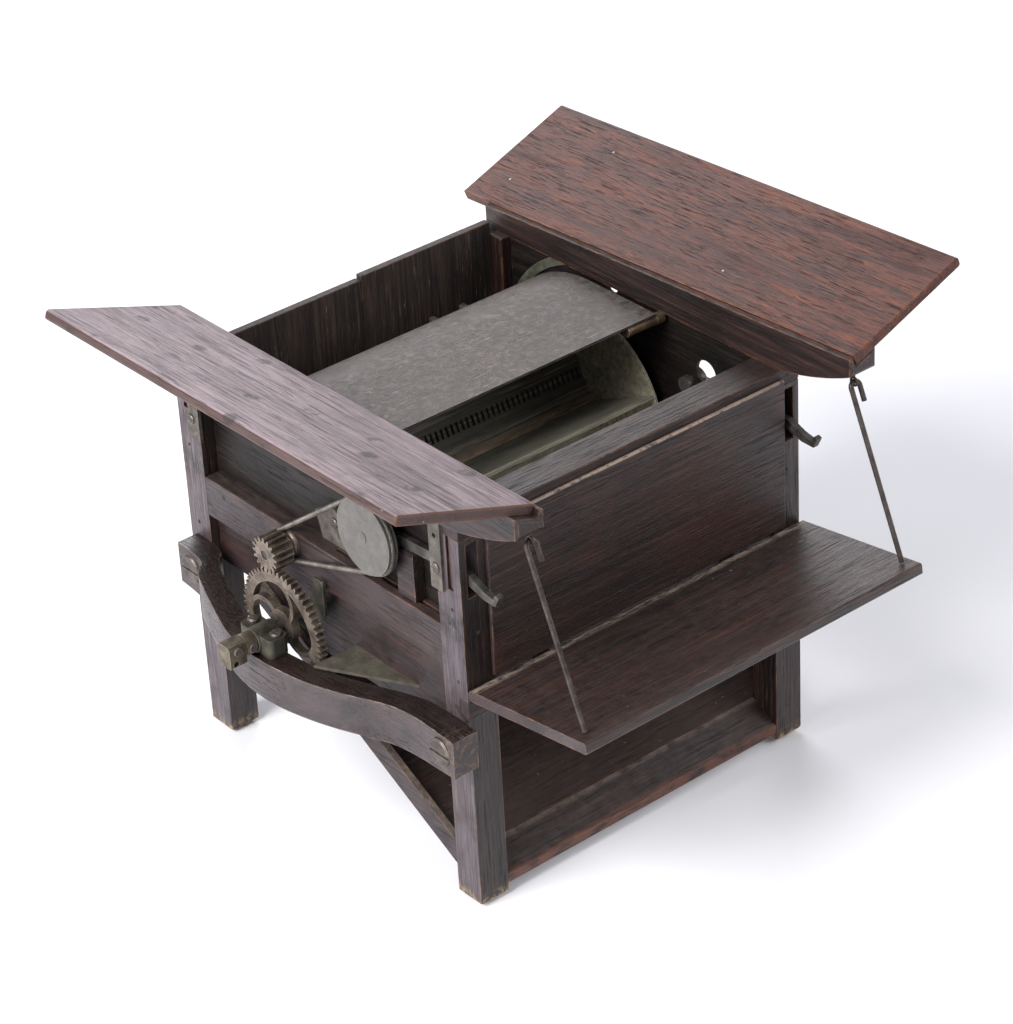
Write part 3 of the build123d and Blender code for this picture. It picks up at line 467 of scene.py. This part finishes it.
def paint_boards():
    """The two wing boards and the bars below them."""
    soft = settings().edge_softness
    tones = settings()

    def left_marks(paint, colour, rough):
        """Dark drawn-out grain lines, brown edges, round dark stains and pale dust specks."""
        line = paint.noise([3.5, 85, 3.5], 6, 0.72, 0.3, 91).rise(0.555, 0.59)
        line = line * paint.noise([1.1, 20, 1.1], 2, 0.6, 0.0, 92).rise(0.40, 0.56)
        colour = paint.mix(line * 0.75, colour, (0.030, 0.013, 0.012))
        side = paint.facing_z.rise(0.86, 0.70)
        colour = paint.mix(side * 0.9, colour, (0.034, 0.0125, 0.0075))
        arris = side * paint.edges(1.6).rise(0.05, 0.4)
        colour = paint.mix(arris * 0.8, colour, (0.150, 0.050, 0.016))
        stain = paint.specks(23, 0.22, 3.0) * paint.noise([7, 7, 7], 3, 0.6, 0.0, 3).rise(0.35, 0.55)
        colour = paint.mix(stain * 0.7, colour, (0.008, 0.005, 0.005))
        white = paint.specks(9, 0.05, 7.0) * paint.noise([30, 30, 30], 2, 0.5, 0.0, 8).rise(0.48, 0.6)
        return paint.mix(white * 0.7, colour, (0.45, 0.42, 0.38)), rough

    # Painted sheen: the board's pale mauve-grey tones are partly its own colour and partly reflected light
    # painted in.
    left = wood("board_wood_left", ALONG_Y, dark=(0.120, 0.080, 0.086), mid=(0.250, 0.180, 0.195),
                light=(0.380, 0.290, 0.310), shift=2.0, gloss=0.36, wear=1.6, worn=(0.17, 0.05, 0.018),
                dust=0.35, sheen=0.0, dust_colour=(0.33, 0.275, 0.30), pores=1.0, extra=left_marks,
                specular=0.5)

    def right_marks(paint, colour, rough):
        """Long dark streaks, round stains and one white fleck."""
        line = paint.noise([3.0, 70, 3.0], 6, 0.72, 0.3, 64).rise(0.55, 0.59)
        line = line * paint.noise([1.1, 20, 1.1], 2, 0.6, 0.0, 65).rise(0.40, 0.56)
        colour = paint.mix(line * 0.7, colour, (0.010, 0.003, 0.0025))
        streak = paint.noise([9, 80, 9], 3, 0.6, 0.5, 61).rise(0.54, 0.70)
        colour = paint.mix(streak * 0.45, colour, (0.030, 0.010, 0.008))
        stain = paint.specks(29, 0.2, 5.0) * paint.noise([8, 8, 8], 3, 0.6, 0.0, 62).rise(0.38, 0.58)
        colour = paint.mix(stain * 0.6, colour, (0.020, 0.010, 0.008))
        white = paint.specks(17, 0.045, 9.0) * paint.noise([40, 40, 40], 2, 0.5, 0.0, 63).rise(0.45, 0.6)
        return paint.mix(white * 0.8, colour, (0.6, 0.55, 0.5)), rough + streak * 0.08

    right = wood("board_wood_right", ALONG_Y, dark=(0.040, 0.0085, 0.0038), mid=tuple(tones.wood_red),
                 light=(0.165, 0.038, 0.010), shift=6.0, gloss=0.40, wear=0.8, sheen=0.0,
                 worn=(0.26, 0.09, 0.035), dust=0.06, extra=right_marks, specular=0.4)
    dress(["left_board"], left, soft)
    dress(["right_board"], right, soft)
    bar_wood = stand_wood("bar_wood", ALONG_Y, 11.0, gloss=0.34, wear=0.8, sheen=0.04)
    dress(["left_bar", "right_bar"], bar_wood, soft)


def paint_chute():
    """Lip, floor and cheeks of the chute."""
    def lip_marks(paint, colour, rough):
        """Bare worn wood along the lip's front edge."""
        worn = paint.y.rise(3.0, 0.0) * paint.noise([9, 3, 3], 3, 0.6, 0.0, 71).rise(0.35, 0.58)
        colour = paint.mix(worn * 0.5, colour, (0.20, 0.07, 0.04))
        crease = paint.near(paint.y, 15.5, 0.8, 1.6) * paint.noise([6, 6, 6], 3, 0.6, 0.0, 72).rise(0.3, 0.6)
        return paint.mix(crease * 0.6, colour, (0.19, 0.14, 0.12)), rough

    def floor_marks(paint, colour, rough):
        """Crumbs and dust gathered low on the floor."""
        crumbs = paint.specks(4.5, 0.13, 2.0) * paint.noise([15, 15, 15], 3, 0.6, 0.0, 73).rise(0.45, 0.6)
        low = paint.y.rise(70, 16)
        colour = paint.mix(low * 0.18, colour, (0.13, 0.09, 0.075))
        return paint.mix(crumbs * low * 0.6, colour, (0.26, 0.20, 0.15)), rough + low * 0.1

    lip = stand_wood("chute_wood_lip", ACROSS_X, 23.0, extra=lip_marks, gloss=0.36)
    floor = stand_wood("chute_wood_floor", ACROSS_X, 27.0, extra=floor_marks, gloss=0.5, dust=0.12,
                       specular=0.25)
    cheek = stand_wood("chute_wood_cheek", ALONG_Y, 29.0, gloss=0.45, dust=0.6,
                       dust_colour=(0.34, 0.27, 0.22))
    dress(["chute_lip"], lip, 0.5)
    dress(["chute_floor"], floor)
    dress(["chute_cheeks"], cheek, 0.3)


def paint_table():
    """The fold-out table, its hinges, the stays and their eyes."""
    hinge_low, hinge_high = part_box("table_hinge_pins")
    hinge_y = ((hinge_low[1] + hinge_high[1]) / 2 - CORNER.y) / MM

    def table_marks(paint, colour, rough):
        """Dust packed along the hinge, a rubbed far edge and scattered crumbs."""
        packed = paint.y.rise(hinge_y - 4.5, hinge_y - 1.0)
        packed = packed * paint.noise([7, 2, 2], 4, 0.7, 0.0, 81).rise(0.34, 0.62)
        packed = packed * paint.facing_z.rise(0.2, 0.7)
        colour = paint.mix(packed * 0.7, colour, (0.34, 0.27, 0.22))
        crumbs = paint.specks(8, 0.055, 4.0) * paint.noise([35, 35, 35], 2, 0.5, 0.0, 82).rise(0.42, 0.6)
        colour = paint.mix(crumbs * 0.75, colour, (0.50, 0.45, 0.40))
        return colour, rough + packed * 0.3

    top = wood("table_wood", ACROSS_X, dark=(0.007, 0.0034, 0.0028), mid=(0.026, 0.0095, 0.0068),
               light=(0.066, 0.026, 0.017), shift=31.0, gloss=0.26, wear=0.9,
               worn=tuple(settings().worn_wood), dust=0.15, extra=table_marks)
    dress(["front_table"], top, 0.8)
    wire = metal("stay_wire", tone=(0.115, 0.095, 0.085), deep=(0.042, 0.033, 0.030), rough=0.38,
                 tarnish=(0.035, 0.024, 0.021), tarnish_cover=0.7, bright=0.3, scratches=0.1,
                 metallic=0.8)
    dress(["stay_left", "stay_right", "stay_eyes"], wire)
    hinge = metal("hinge_steel", tone=(0.22, 0.20, 0.17), deep=(0.09, 0.08, 0.07), rough=0.5)
    dress(["table_hinge_pins", "table_hinge_knuckles"], hinge)


# ------------------------------------------------------------------ metal pieces
def paint_drive():
    """Gears, shafts, pulleys, screws, plates and levers on the gear side."""
    bronze = metal("gear_bronze", tone=(0.27, 0.215, 0.175), deep=(0.10, 0.078, 0.062), rough=0.38,
                   tarnish=(0.055, 0.048, 0.036), tarnish_cover=0.6, bright=1.0, scratches=0.2,
                   metallic=0.8)
    dress(["crank_gear", "pinion", "small_pulley"], bronze)
    casting = metal("bracket_bronze", tone=(0.135, 0.125, 0.095), deep=(0.052, 0.050, 0.038), rough=0.42,
                    tarnish=(0.038, 0.042, 0.030), tarnish_cover=0.7, bright=0.5, scratches=0.2,
                    metallic=0.75)
    dress(["crank_bracket", "shaft_hanger"], casting, 0.35)
    clamp = metal("clamp_brass", tone=(0.22, 0.185, 0.135), deep=(0.085, 0.070, 0.050), rough=0.36,
                  tarnish=(0.05, 0.042, 0.030), tarnish_cover=0.6, bright=1.0, scratches=0.2)
    dress(["crank_clamp"], clamp, 0.3)
    dress(["shaft_collar"], clamp, 0.4)
    iron = metal("shaft_iron", tone=(0.15, 0.14, 0.13), deep=(0.06, 0.055, 0.05), rough=0.4,
                 tarnish=(0.045, 0.035, 0.03), tarnish_cover=0.6, bright=0.4, scratches=0.1)
    dress(["crank_shaft", "drum_shaft", "drum_bearings", "lever_pivots", "lever_left", "lever_right"], iron)
    disc = metal("pulley_zinc", tone=(0.165, 0.155, 0.145), deep=(0.125, 0.117, 0.110), rough=0.50,
                 tarnish=(0.09, 0.083, 0.072), tarnish_cover=0.4, bright=0.7, scratches=0.2,
                 metallic=0.55)
    dress(["large_pulley"], disc)
    screw = metal("screw_steel", tone=(0.20, 0.175, 0.155), deep=(0.07, 0.06, 0.055), rough=0.38,
                  tarnish=(0.04, 0.03, 0.026), tarnish_cover=0.6, bright=0.8, scratches=0.3)
    dress(["rail_screws", "small_screws", "clamp_screws"], screw)
    plate = metal("strap_steel", tone=(0.20, 0.18, 0.155), deep=(0.085, 0.075, 0.065), rough=0.45,
                  tarnish=(0.06, 0.048, 0.04), tarnish_cover=0.6, bright=0.5, scratches=0.4,
                  scratch_axis=UPRIGHT, metallic=0.7)
    dress(["strap_plates", "steady_plate"], plate)
    brace = metal("brace_brass", tone=(0.165, 0.150, 0.115), deep=(0.085, 0.076, 0.058), rough=0.5,
                  tarnish=(0.06, 0.052, 0.040), tarnish_cover=0.5, bright=0.3, scratches=0.3,
                  metallic=0.5)
    dress(["brace_plate"], brace)


def paint_drum():
    """Axle, end discs, blades and their teeth."""
    axle = wood("axle_wood", ACROSS_X, dark=(0.16, 0.10, 0.06), mid=(0.30, 0.21, 0.13),
                light=(0.42, 0.32, 0.21), shift=41.0, gloss=0.5, wear=0.2, dust=0.5,
                dust_colour=(0.34, 0.31, 0.26))
    dress(["drum_axle"], axle, 0.3)

    drum_low, drum_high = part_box("drum_ends")
    drum_y = ((drum_low[1] + drum_high[1]) / 2 - CORNER.y) / MM
    drum_z = ((drum_low[2] + drum_high[2]) / 2 - CORNER.z) / MM

    def blade_marks(paint, colour, rough):
        """Painted shade on the blades above and behind the axle, under the hood, and pale rubbed streaks
        along them all.
        """
        # Painted shade: the blades above and behind the axle, under the hood, are darkened.
        painted_hood_shade = paint.z.rise(drum_z + 3, drum_z + 9) * paint.y.rise(drum_y - 8, drum_y - 3)
        colour = paint.mix(painted_hood_shade * 0.85, colour, (0.030, 0.021, 0.016))
        streak = paint.noise([60, 1.5, 1.5], 3, 0.6, 0.2, 91).rise(0.52, 0.66)
        return paint.mix(streak * 0.4, colour, (0.42, 0.42, 0.36)), rough

    blade = wood("blade_wood", ACROSS_X, dark=(0.26, 0.24, 0.175), mid=(0.40, 0.38, 0.28),
                 light=(0.52, 0.50, 0.39), shift=43.0, gloss=0.5, wear=0.6, worn=(0.40, 0.37, 0.28),
                 dust=0.4, dust_colour=(0.26, 0.25, 0.22), pores=0.5, extra=blade_marks)
    dress(["drum_blades"], blade, 0.3)
    disc = metal("drum_disc_brass", tone=(0.66, 0.60, 0.45), deep=(0.42, 0.38, 0.28), rough=0.5,
                 tarnish=(0.16, 0.135, 0.10), tarnish_cover=0.6, bright=0.9, scratches=0.3, metallic=0.45)
    dress(["drum_ends"], disc)
    teeth = metal("tooth_steel", tone=(0.060, 0.047, 0.038), deep=(0.025, 0.020, 0.016), rough=0.5,
                  bright=0.2)
    dress(["blade_teeth"], teeth)


def paint_hood():
    """Hood, casing, hinges and the pins the flap rests on."""
    zinc = metal("hood_zinc", tone=(0.098, 0.080, 0.074), deep=(0.040, 0.032, 0.029), rough=0.42,
                 tarnish=(0.058, 0.046, 0.034), tarnish_cover=0.6, bright=0.9, scratches=1.2,
                 scratch_axis=ACROSS_X, metallic=0.5, relief=0.3, dust=0.22)
    dress(["hood", "back_casing"], zinc)
    pin = metal("pin_steel", tone=(0.26, 0.235, 0.20), deep=(0.12, 0.105, 0.09), rough=0.45,
                tarnish=(0.09, 0.065, 0.05), tarnish_cover=0.6, bright=0.6, scratches=0.2)
    dress(["hood_hinge_pins", "hood_hinge_ears"], pin)
    brass = metal("pin_brass", tone=(0.30, 0.22, 0.14), deep=(0.15, 0.105, 0.065), rough=0.42,
                  tarnish=(0.10, 0.065, 0.045), tarnish_cover=0.6, bright=0.6, scratches=0.2)
    dress(["hood_rest_pins"], brass)


# ------------------------------------------------------------------ fine pieces
def belt_line(step):
    """Points along the belt's middle line, evenly spaced, going once round both pulleys."""
    low, high = (Vector(c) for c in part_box("large_pulley"))
    small_low, small_high = (Vector(c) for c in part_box("small_pulley"))
    belt_low, belt_high = (Vector(c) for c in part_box("spring_belt"))
    plane_x = (belt_low.x + belt_high.x) / 2
    seat = 0.1 * MM
    large, small = (low + high) / 2, (small_low + small_high) / 2
    large_r, small_r = (high.z - low.z) / 2 - seat, (small_high.z - small_low.z) / 2 - seat
    reach = Vector((small.y - large.y, small.z - large.z))
    heading = math.atan2(reach.y, reach.x)
    lean = math.acos((large_r - small_r) / reach.length)
    points = []

    def arc(middle, radius, start, end):
        count = max(2, int(abs(end - start) * radius / step))
        for k in range(count):
            angle = start + (end - start) * k / count
            points.append(Vector((plane_x, middle.y + radius * math.cos(angle),
                                  middle.z + radius * math.sin(angle))))

    def run(first, last):
        count = max(2, int((last - first).length / step))
        for k in range(count):
            points.append(first.lerp(last, k / count))

    def rim(middle, radius, angle):
        return Vector((plane_x, middle.y + radius * math.cos(angle), middle.z + radius * math.sin(angle)))

    arc(large, large_r, heading + lean, heading - lean + 2 * math.pi)
    run(rim(large, large_r, heading - lean), rim(small, small_r, heading - lean))
    arc(small, small_r, heading - lean, heading + lean)
    run(rim(small, small_r, heading + lean), rim(large, large_r, heading + lean))
    return points


def make_belt():
    """The belt as a coiled spring of wire round both pulleys."""
    tones = settings()
    line = belt_line(tones.coil_pitch / 10)
    belt_low, belt_high = (Vector(c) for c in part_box("spring_belt"))
    coil_radius = (belt_high.x - belt_low.x) / 2 - tones.coil_wire
    count = len(line)
    turns = round(count / 10)
    helix = []
    for index, point in enumerate(line):
        along = (line[(index + 1) % count] - line[index - 1]).normalized()
        side = Vector((1, 0, 0))
        other = along.cross(side)
        angle = 2 * math.pi * turns * index / count
        helix.append(point + (side * math.cos(angle) + other * math.sin(angle)) * coil_radius)
    steel = metal("belt_spring_steel", tone=(0.27, 0.25, 0.22), deep=(0.11, 0.10, 0.09), rough=0.36,
                  tarnish=(0.08, 0.06, 0.045), tarnish_cover=0.5, bright=0.3, scratches=0.1)
    coil = new_piece("belt_coil", lambda made: tube(made, helix, tones.coil_wire, 6, closed=True), steel,
                     "stand")
    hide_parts("spring_belt")


def make_nails():
    """Nail heads in the legs and rails of the gear side and the front."""
    chance = random.Random(4)
    iron = metal("nail_iron", tone=(0.10, 0.085, 0.075), deep=(0.035, 0.03, 0.027), rough=0.6,
                 tarnish=(0.03, 0.02, 0.017), tarnish_cover=0.8, bright=0.1, scratches=0.1)
    side_nails = [(0, 7.0, 158), (0, 9.5, 150), (0, 6.0, 121), (0, 9.0, 107), (0, 200, 160), (0, 199, 118),
                  (0, 30, 141), (0, 176, 141)]
    front_nails = [(8, 0, 146), (8, 0, 108.5), (192, 0, 108.5), (7, 0, 199.5), (193, 0, 199.5), (192, 0, 150)]

    def head(made, place, outward, radius):
        """One domed head, sunk a little into the wood."""
        turned(made, place, outward, [(-0.4 * MM, radius), (0.04 * MM, radius), (0.16 * MM, radius * 0.7),
                                      (0.2 * MM, radius * 0.2)], 14)

    def build(made):
        for place in side_nails:
            head(made, at(*place), Vector((-1, 0, 0)), chance.uniform(0.8, 1.25) * MM)
        for place in front_nails:
            head(made, at(*place), Vector((0, -1, 0)), chance.uniform(0.8, 1.2) * MM)

    new_piece("nail_heads", build, iron, "stand")


def make_wall_band():
    """The greenish arched strip on the far wall, above the hood's rim."""
    low, high = (Vector(c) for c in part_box("drum_ends"))
    middle = (low + high) / 2
    wall_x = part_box("right_side_panel")[0][0]
    inner, outer, depth = 67.5 * MM, 72.0 * MM, 1.2 * MM
    bronze = metal("band_bronze", tone=(0.14, 0.135, 0.10), deep=(0.07, 0.068, 0.05), rough=0.5,
                   tarnish=(0.05, 0.055, 0.04), tarnish_cover=0.6, bright=0.8, scratches=0.3,
                   metallic=0.6)

    def build(made):
        sections = []
        steps = 36
        for k in range(steps + 1):
            angle = math.radians(34 + 62 * k / steps)
            ring = []
            for radius, x in ((inner, wall_x), (outer, wall_x), (outer, wall_x - depth),
                              (inner, wall_x - depth)):
                z = middle.z + radius * math.sin(angle)
                top = at(0, 0, 202.8).z
                ring.append(made.verts.new((x, middle.y + radius * math.cos(angle), min(z, top))))
            sections.append(ring)
        for near, far in zip(sections, sections[1:]):
            for k in range(4):
                made.faces.new((near[k], near[(k + 1) % 4], far[(k + 1) % 4], far[k]))
        made.faces.new(sections[0])
        made.faces.new(sections[-1])

    new_piece("wall_band", build, bronze, "stand")


# ------------------------------------------------------------------ stage
def area_light(name, place, target, size, power, colour):
    """A soft square light aimed at a point."""
    lamp = bpy.data.lights.new(name, "AREA")
    lamp.shape = "RECTANGLE"
    lamp.size, lamp.size_y = size
    lamp.energy = power
    lamp.color = colour
    thing = bpy.data.objects.new(name, lamp)
    bpy.context.scene.collection.objects.link(thing)
    thing.location = place
    thing.rotation_euler = (target - place).to_track_quat("-Z", "Y").to_euler()


def make_stage():
    """Floor, backdrop light, soft lights and the camera."""
    scene = bpy.context.scene
    floor_mesh = bpy.data.meshes.new("floor")
    made = bmesh.new()
    reach = 6.0
    corners = [made.verts.new((x, y, 0)) for x, y in ((-reach, -reach), (reach, -reach), (reach, reach),
                                                      (-reach, reach))]
    made.faces.new(corners)
    made.to_mesh(floor_mesh)
    made.free()
    floor = bpy.data.objects.new("floor", floor_mesh)
    scene.collection.objects.link(floor)
    paint = Paint("floor_paper")
    cloud = paint.noise([240, 240, 240], 2, 0.5)
    colour = paint.mix(cloud, (0.86, 0.86, 0.895), (0.88, 0.88, 0.905))
    floor_mesh.materials.append(paint.finish(colour, 0.85, cloud, 0.05, specular=0.1))

    world = bpy.data.worlds.new("studio")
    scene.world = world
    world.use_nodes = True
    tree = world.node_tree
    tree.nodes.clear()
    place = tree.nodes.new("ShaderNodeTexCoord")
    split = tree.nodes.new("ShaderNodeSeparateXYZ")
    ramp = tree.nodes.new("ShaderNodeValToRGB")
    ramp.color_ramp.elements[0].position = 0.0
    ramp.color_ramp.elements[0].color = (1.0, 1.0, 1.02, 1)
    ramp.color_ramp.elements[1].position = 0.60
    ramp.color_ramp.elements[1].color = (0.22, 0.225, 0.25, 1)
    background = tree.nodes.new("ShaderNodeBackground")
    background.inputs["Strength"].default_value = 1.1
    output = tree.nodes.new("ShaderNodeOutputWorld")
    tree.links.new(place.outputs["Generated"], split.inputs[0])
    tree.links.new(split.outputs["Z"], ramp.inputs[0])
    tree.links.new(ramp.outputs[0], background.inputs["Color"])
    tree.links.new(background.outputs[0], output.inputs["Surface"])

    power = settings().light_power
    middle = at(100, 100, 120)
    warm = (1.0, 0.99, 0.98)
    for name, offset, size, share, colour in (
            ("key_light", (-1.7, -0.1, 1.5), (1.3, 1.3), 1.35, warm),
            ("side_light", (-1.9, 0.2, 0.45), (1.3, 0.8), 0.45, (0.98, 0.98, 1.0)),
            ("back_light", (0.9, 1.7, 1.2), (1.6, 1.0), 0.6, (0.96, 0.97, 1.0)),
            ("front_light", (1.3, -1.6, 1.3), (1.2, 1.2), 0.5, warm)):
        area_light(name, middle + Vector(offset), middle, size, power * share, colour)

    lens = bpy.data.cameras.new("camera")
    lens.sensor_width = 36.0
    lens.lens = 121.79
    lens.clip_start = 0.05
    camera = bpy.data.objects.new("camera", lens)
    scene.collection.objects.link(camera)
    camera.location = at(-753.2, -984.6, 967.1)
    azimuth, elevation, roll = math.radians(38.4), math.radians(31.456), math.radians(-3.30)
    look = Vector((math.sin(azimuth) * math.cos(elevation), math.cos(azimuth) * math.cos(elevation),
                   -math.sin(elevation)))
    level = look.to_track_quat("-Z", "Y").to_matrix()
    camera.rotation_euler = (level @ Matrix.Rotation(roll, 3, "Z")).to_euler()
    scene.camera = camera
    scene.view_settings.view_transform = "Standard"


# ------------------------------------------------------------------ operators
class DRUM_OT_stand(bpy.types.Operator):
    """Finish the legs, rails, panels and walls"""
    bl_idname = "drum_machine.stand"
    bl_label = "Stand"

    def execute(self, context):
        paint_stand()
        return {"FINISHED"}


class DRUM_OT_boards(bpy.types.Operator):
    """Finish the wing boards and their bars"""
    bl_idname = "drum_machine.boards"
    bl_label = "Wing boards"

    def execute(self, context):
        paint_boards()
        return {"FINISHED"}


class DRUM_OT_chute(bpy.types.Operator):
    """Finish the chute's lip, floor and cheeks"""
    bl_idname = "drum_machine.chute"
    bl_label = "Chute"

    def execute(self, context):
        paint_chute()
        return {"FINISHED"}


class DRUM_OT_table(bpy.types.Operator):
    """Finish the fold-out table, its hinges and stays"""
    bl_idname = "drum_machine.table"
    bl_label = "Table and stays"

    def execute(self, context):
        paint_table()
        return {"FINISHED"}


class DRUM_OT_drive(bpy.types.Operator):
    """Finish the gears, pulleys, shafts, plates and screws"""
    bl_idname = "drum_machine.drive"
    bl_label = "Drive"

    def execute(self, context):
        paint_drive()
        return {"FINISHED"}


class DRUM_OT_drum(bpy.types.Operator):
    """Finish the drum's axle, discs and blades"""
    bl_idname = "drum_machine.drum"
    bl_label = "Drum"

    def execute(self, context):
        paint_drum()
        return {"FINISHED"}


class DRUM_OT_hood(bpy.types.Operator):
    """Finish the hood, its hinges and its rest pins"""
    bl_idname = "drum_machine.hood"
    bl_label = "Hood"

    def execute(self, context):
        paint_hood()
        return {"FINISHED"}


class DRUM_OT_belt(bpy.types.Operator):
    """Wind the belt's coiled spring round both pulleys"""
    bl_idname = "drum_machine.belt"
    bl_label = "Spring belt"

    def execute(self, context):
        make_belt()
        return {"FINISHED"}


class DRUM_OT_nails(bpy.types.Operator):
    """Set the nail heads"""
    bl_idname = "drum_machine.nails"
    bl_label = "Nails"

    def execute(self, context):
        make_nails()
        return {"FINISHED"}


class DRUM_OT_wall_band(bpy.types.Operator):
    """Fit the arched strip on the far wall"""
    bl_idname = "drum_machine.wall_band"
    bl_label = "Wall band"

    def execute(self, context):
        make_wall_band()
        return {"FINISHED"}


class DRUM_OT_stage(bpy.types.Operator):
    """Lay the floor and set the lights and the camera"""
    bl_idname = "drum_machine.stage"
    bl_label = "Stage"

    def execute(self, context):
        make_stage()
        return {"FINISHED"}


STEPS = (DRUM_OT_stand, DRUM_OT_boards, DRUM_OT_chute, DRUM_OT_table, DRUM_OT_drive, DRUM_OT_drum,
         DRUM_OT_hood, DRUM_OT_belt, DRUM_OT_nails, DRUM_OT_wall_band, DRUM_OT_stage)


class DRUM_PT_panel(bpy.types.Panel):
    """Lists the pieces that can be made"""
    bl_idname = "DRUM_PT_panel"
    bl_label = "Drum machine"
    bl_space_type = "VIEW_3D"
    bl_region_type = "UI"
    bl_category = "Drum machine"

    def draw(self, context):
        layout = self.layout
        for name in DrumMachineSettings.__annotations__:
            layout.prop(context.scene.drum_machine, name)
        for step in STEPS:
            layout.operator(step.bl_idname)


def register():
    """Adds the classes and the scene's settings."""
    for one in (DrumMachineSettings, *STEPS, DRUM_PT_panel):
        bpy.utils.register_class(one)
    bpy.types.Scene.drum_machine = PointerProperty(type=DrumMachineSettings)


def unregister():
    """Takes the classes and the settings away again."""
    del bpy.types.Scene.drum_machine
    for one in reversed((DrumMachineSettings, *STEPS, DRUM_PT_panel)):
        bpy.utils.unregister_class(one)


def main():
    """Registers the classes and makes every piece in order."""
    register()
    for step in STEPS:
        getattr(bpy.ops.drum_machine, step.bl_idname.split(".")[1])()


if __name__ == "__main__":
    main()
